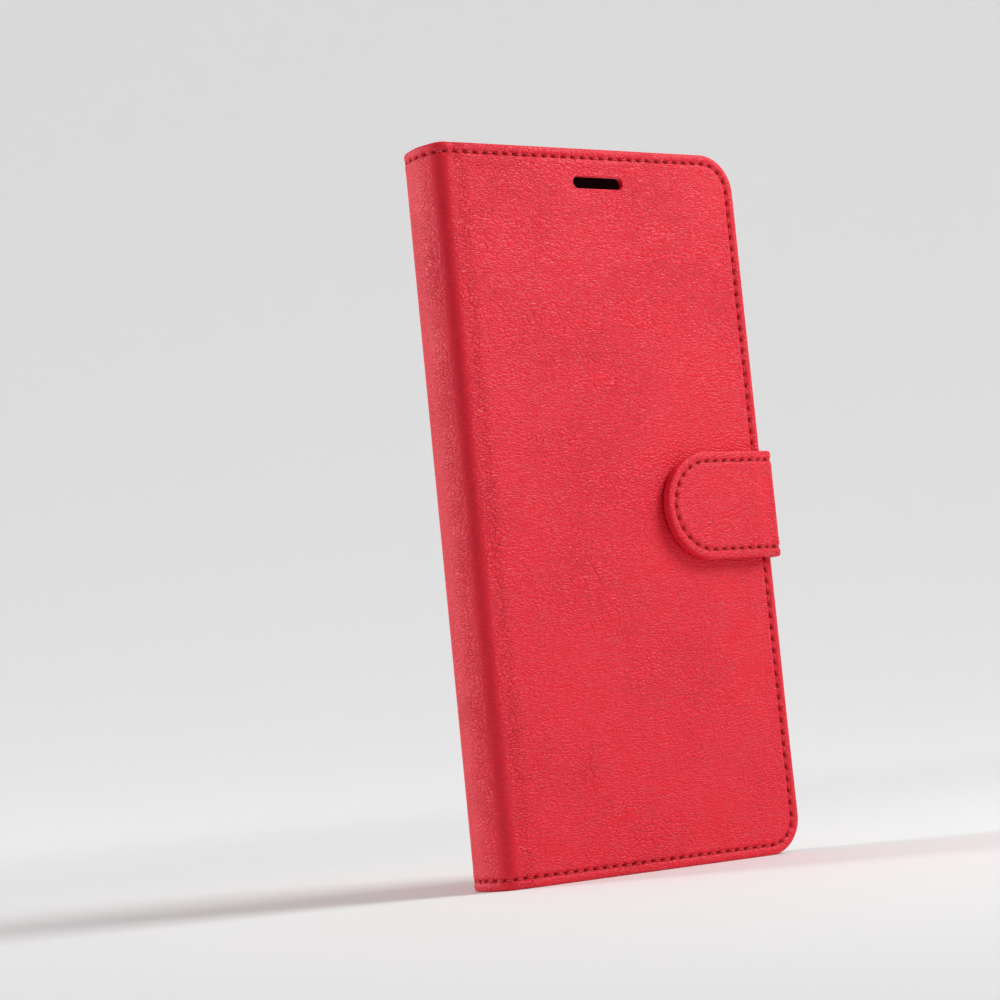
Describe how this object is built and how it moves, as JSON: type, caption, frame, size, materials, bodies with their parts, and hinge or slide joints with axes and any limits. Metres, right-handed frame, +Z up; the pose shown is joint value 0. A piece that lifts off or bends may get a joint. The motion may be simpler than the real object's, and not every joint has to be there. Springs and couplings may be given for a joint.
{
  "type": "phone wallet case",
  "caption": "Folding leather wallet case for a phone: hinged stitched covers, soft tray with camera window, inner card and cash pockets, and a strap with a magnetic tab.",
  "frame": {"origin": "middle of the back cover's bottom edge: half way across the closed case's width and half way through the back cover's thickness", "axes": "+X from the spine to the free edge where the strap is, +Y out of the back cover, +Z up along the case's height; the front cover faces -Y"},
  "size_m": [0.0886, 0.0191, 0.168],
  "materials": {
    "leather": "satin",
    "pocket_leather": "satin",
    "lining": "matte",
    "thread": "matte",
    "board": "matte",
    "tray": "matte",
    "pads": "matte",
    "steel": "brushed",
    "magnet": "satin"
  },
  "bodies": {
    "back_cover": {"back_outer_leather": "leather", "back_board_wide": "board", "back_board_strip": "board", "back_lining": "lining", "phone_tray": "tray", "strap_anchor": "leather", "back_stitching": "thread", "rear_bend_leather": "leather", "rear_bend_lining": "lining", "strap_root_bend": "leather"},
    "spine": {"spine_leather": "leather", "spine_board": "board", "spine_lining": "lining", "spine_stitching": "thread", "front_bend_leather": "leather", "front_bend_lining": "lining"},
    "front_cover": {"front_outer_leather": "leather", "front_board": "board", "strike_plate": "steel", "front_lining": "lining", "cash_pocket": "pocket_leather", "card_slot_outer": "pocket_leather", "card_slot_middle": "pocket_leather", "card_slot_inner": "pocket_leather", "front_stitching": "thread"},
    "strap_web": {"strap_web_leather": "leather", "strap_web_lining": "lining", "web_stitching": "thread", "strap_front_bend": "leather"},
    "strap_tab": {"tab_leather": "leather", "tab_stiffener": "board", "tab_magnet": "magnet", "tab_lining": "lining", "tab_stitching": "thread"},
    "side_button": {"side_button_pad": "pads"},
    "action_button": {"action_button_pad": "pads"},
    "volume_up": {"volume_up_pad": "pads"},
    "volume_down": {"volume_down_pad": "pads"}
  },
  "joints": [
    {"name": "rear_fold", "type": "hinge", "parent": "back_cover", "child": "spine", "pos_m": [-0.04214, 0.00014, 0.084], "axis": [0, 0, -1], "range_deg": [0, 175], "deforming": ["rear_bend_leather", "rear_bend_lining"]},
    {"name": "front_fold", "type": "hinge", "parent": "spine", "child": "front_cover", "pos_m": [-0.04236, -0.01436, 0.084], "axis": [0, 0, -1], "range_deg": [0, 175], "deforming": ["front_bend_leather", "front_bend_lining"]},
    {"name": "strap_swing", "type": "hinge", "parent": "back_cover", "child": "strap_web", "pos_m": [0.04479, 0.00029, 0.083], "axis": [0, 0, 1], "range_deg": [0, 165], "deforming": ["strap_root_bend"]},
    {"name": "tab_fold", "type": "hinge", "parent": "strap_web", "child": "strap_tab", "pos_m": [0.04479, -0.01649, 0.083], "axis": [0, 0, 1], "range_deg": [0, 90], "deforming": ["strap_front_bend"]},
    {"name": "side_button_press", "type": "slide", "parent": "back_cover", "child": "side_button", "axis": [-1, 0, 0], "range_m": [0, 0.0004], "stiffness_N_per_m": 1000},
    {"name": "action_button_press", "type": "slide", "parent": "back_cover", "child": "action_button", "axis": [1, 0, 0], "range_m": [0, 0.0004], "stiffness_N_per_m": 1000},
    {"name": "volume_up_press", "type": "slide", "parent": "back_cover", "child": "volume_up", "axis": [1, 0, 0], "range_m": [0, 0.0004], "stiffness_N_per_m": 1000},
    {"name": "volume_down_press", "type": "slide", "parent": "back_cover", "child": "volume_down", "axis": [1, 0, 0], "range_m": [0, 0.0004], "stiffness_N_per_m": 1000}
  ]
}
